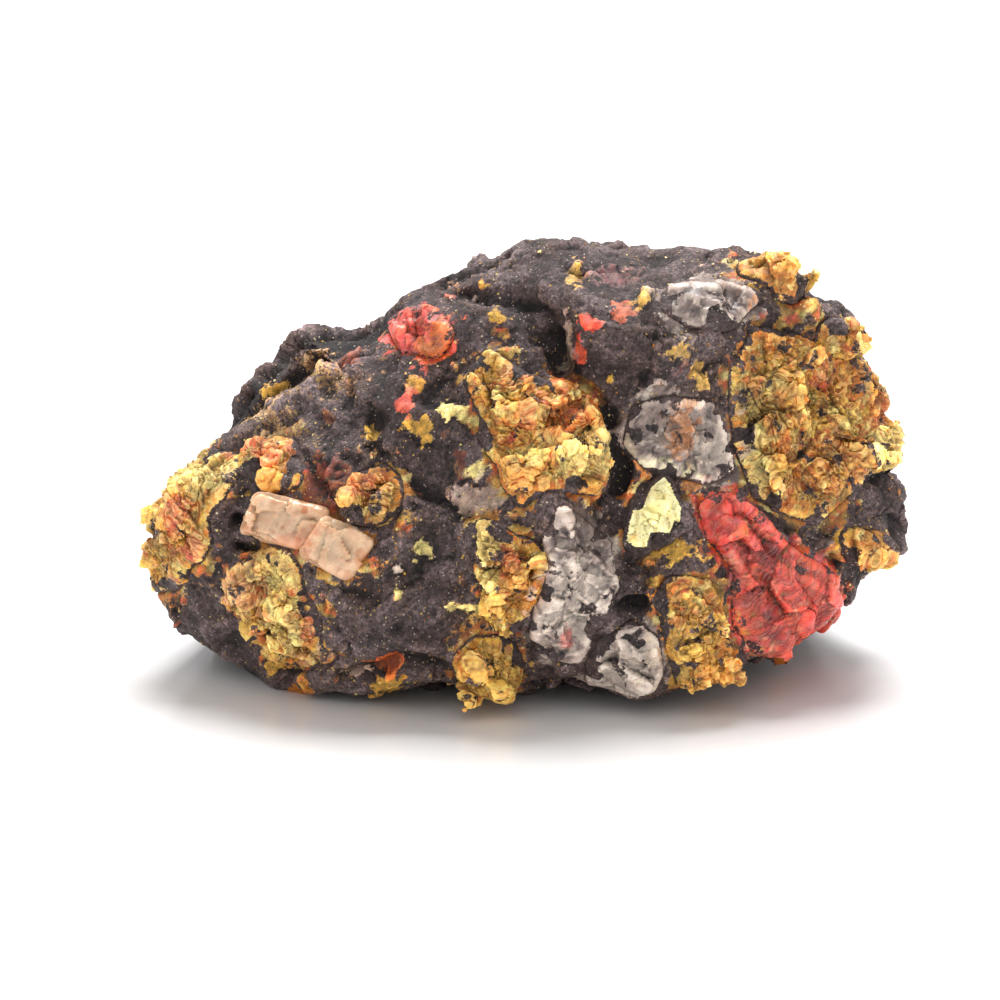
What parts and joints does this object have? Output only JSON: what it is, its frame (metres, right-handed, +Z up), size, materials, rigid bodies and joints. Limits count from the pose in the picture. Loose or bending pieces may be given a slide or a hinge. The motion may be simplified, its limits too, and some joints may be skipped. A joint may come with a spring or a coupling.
{
  "type": "mineral specimen",
  "caption": "Rough hand specimen of realgar with orpiment: red and golden masses, calcite and quartz on a dark shale matrix that rests on a flat base.",
  "frame": {"origin": "middle of the bounding box's bottom, on the flat surface that the specimen rests on", "axes": "+Z up, +X along the specimen to the end with the amber orpiment, +Y away from the viewer of the show side"},
  "size_m": [0.061, 0.041, 0.0356],
  "materials": {
    "shale": "rough, dark grey-purple, with tiny sparkling grains",
    "realgar": "resinous, translucent orange-red",
    "orpiment": "foliated and pearly, translucent gold to lemon yellow",
    "quartz": "glassy, cloudy grey-white",
    "calcite": "smooth, translucent peach-white"
  },
  "bodies": {
    "root": {"matrix": "shale", "realgar_vein": "realgar", "realgar_upper": "realgar", "realgar_rear": "realgar", "orpiment_right": "orpiment", "orpiment_centre": "orpiment", "orpiment_lower": "orpiment", "orpiment_foot": "orpiment", "orpiment_foot_right": "orpiment", "orpiment_nose": "orpiment", "orpiment_brow": "orpiment", "orpiment_left": "orpiment", "orpiment_knot": "orpiment", "orpiment_flake": "orpiment", "orpiment_crown": "orpiment", "orpiment_shoulder": "orpiment", "orpiment_corner": "orpiment", "orpiment_rear": "orpiment", "quartz_seam": "quartz", "quartz_foot": "quartz", "quartz_band": "quartz", "quartz_vein": "quartz", "calcite_crystals": "calcite"}
  },
  "joints": []
}
